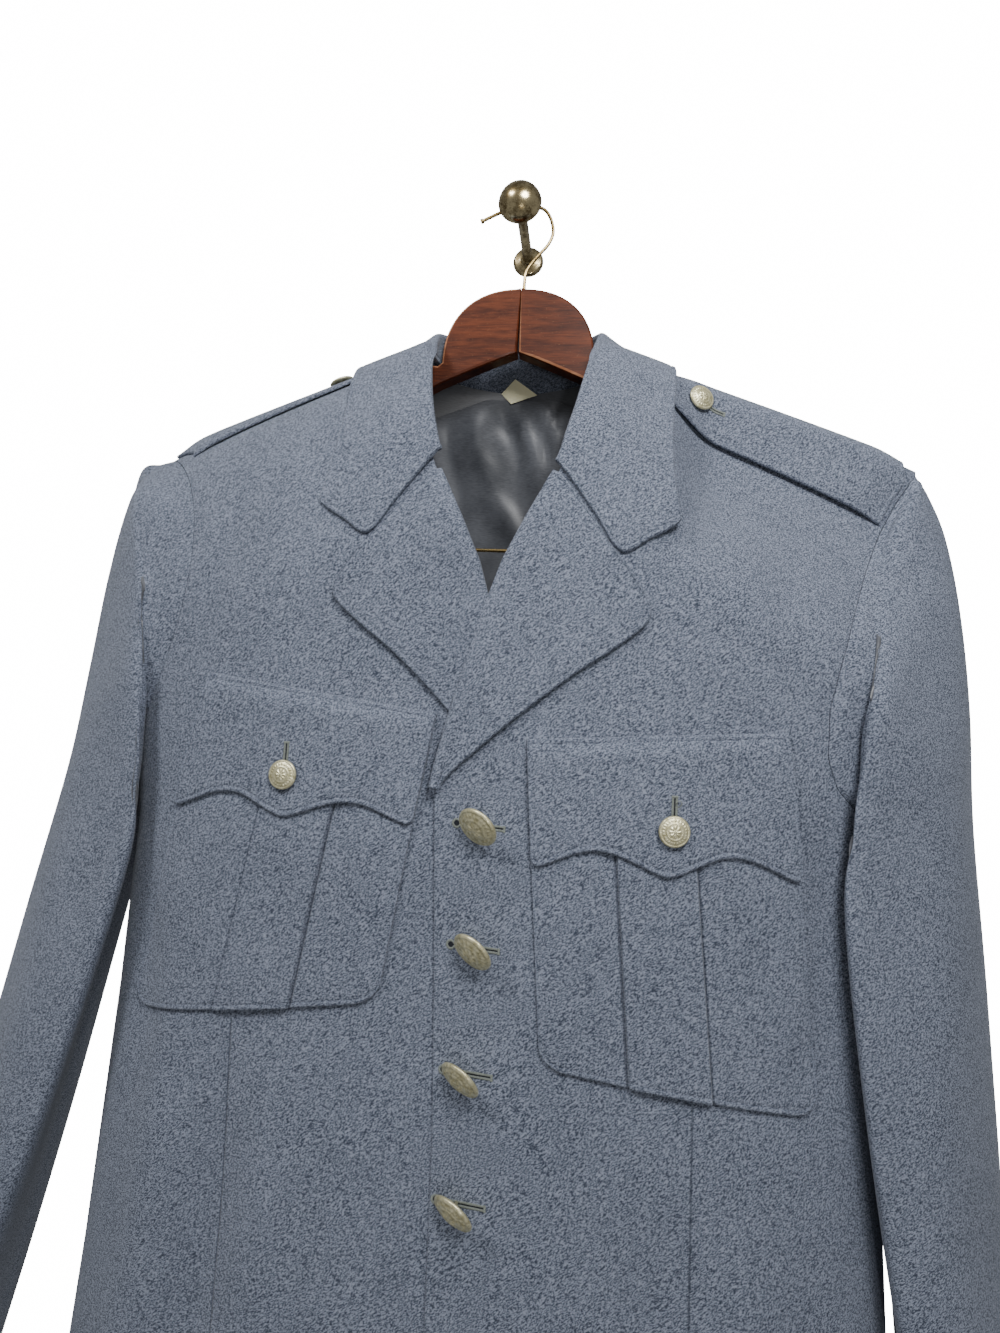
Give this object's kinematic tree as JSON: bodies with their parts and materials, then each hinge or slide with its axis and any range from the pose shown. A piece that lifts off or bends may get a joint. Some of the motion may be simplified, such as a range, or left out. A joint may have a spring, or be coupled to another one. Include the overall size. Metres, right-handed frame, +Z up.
{
  "type": "air force service dress jacket on a wooden hanger with a brass wall knob",
  "caption": "Single-breasted wool uniform jacket with notched lapels, pleated flap pockets and shoulder straps, hung on a wooden hanger from a brass wall knob.",
  "frame": {"origin": "centre of the knob's flat face that screws to the wall", "axes": "+X to the right of a viewer facing the jacket, -Y out of the wall toward the viewer, +Z up"},
  "size_m": [0.6731, 0.1478, 0.874],
  "materials": {
    "serge": "blue-grey heathered wool serge",
    "button_brass": "pale antique brass, satin",
    "wire_brass": "bright drawn brass wire",
    "satin": "charcoal lining satin",
    "label": "blank cream woven label",
    "mahogany": "dark red lacquered mahogany",
    "knob_brass": "dark antique brass"
  },
  "bodies": {
    "root": {"front_left": "serge", "front_right": "serge", "back_left": "serge", "back_right": "serge", "sleeve_left": "serge", "sleeve_right": "serge", "collar": "serge", "lapel_left": "serge", "lapel_right": "serge", "pocket_left": "serge", "pocket_right": "serge", "flap_left": "serge", "flap_right": "serge", "strap_left": "serge", "strap_right": "serge", "front_button_1": "button_brass", "front_button_2": "button_brass", "front_button_3": "button_brass", "front_button_4": "button_brass", "flap_button_left": "button_brass", "flap_button_right": "button_brass", "strap_button_left": "button_brass", "strap_button_right": "button_brass", "back_lining": "satin", "neck_label": "label", "hanger_body": "mahogany", "hanger_hook": "wire_brass", "trouser_bar": "wire_brass", "wall_knob": "knob_brass"}
  },
  "joints": []
}
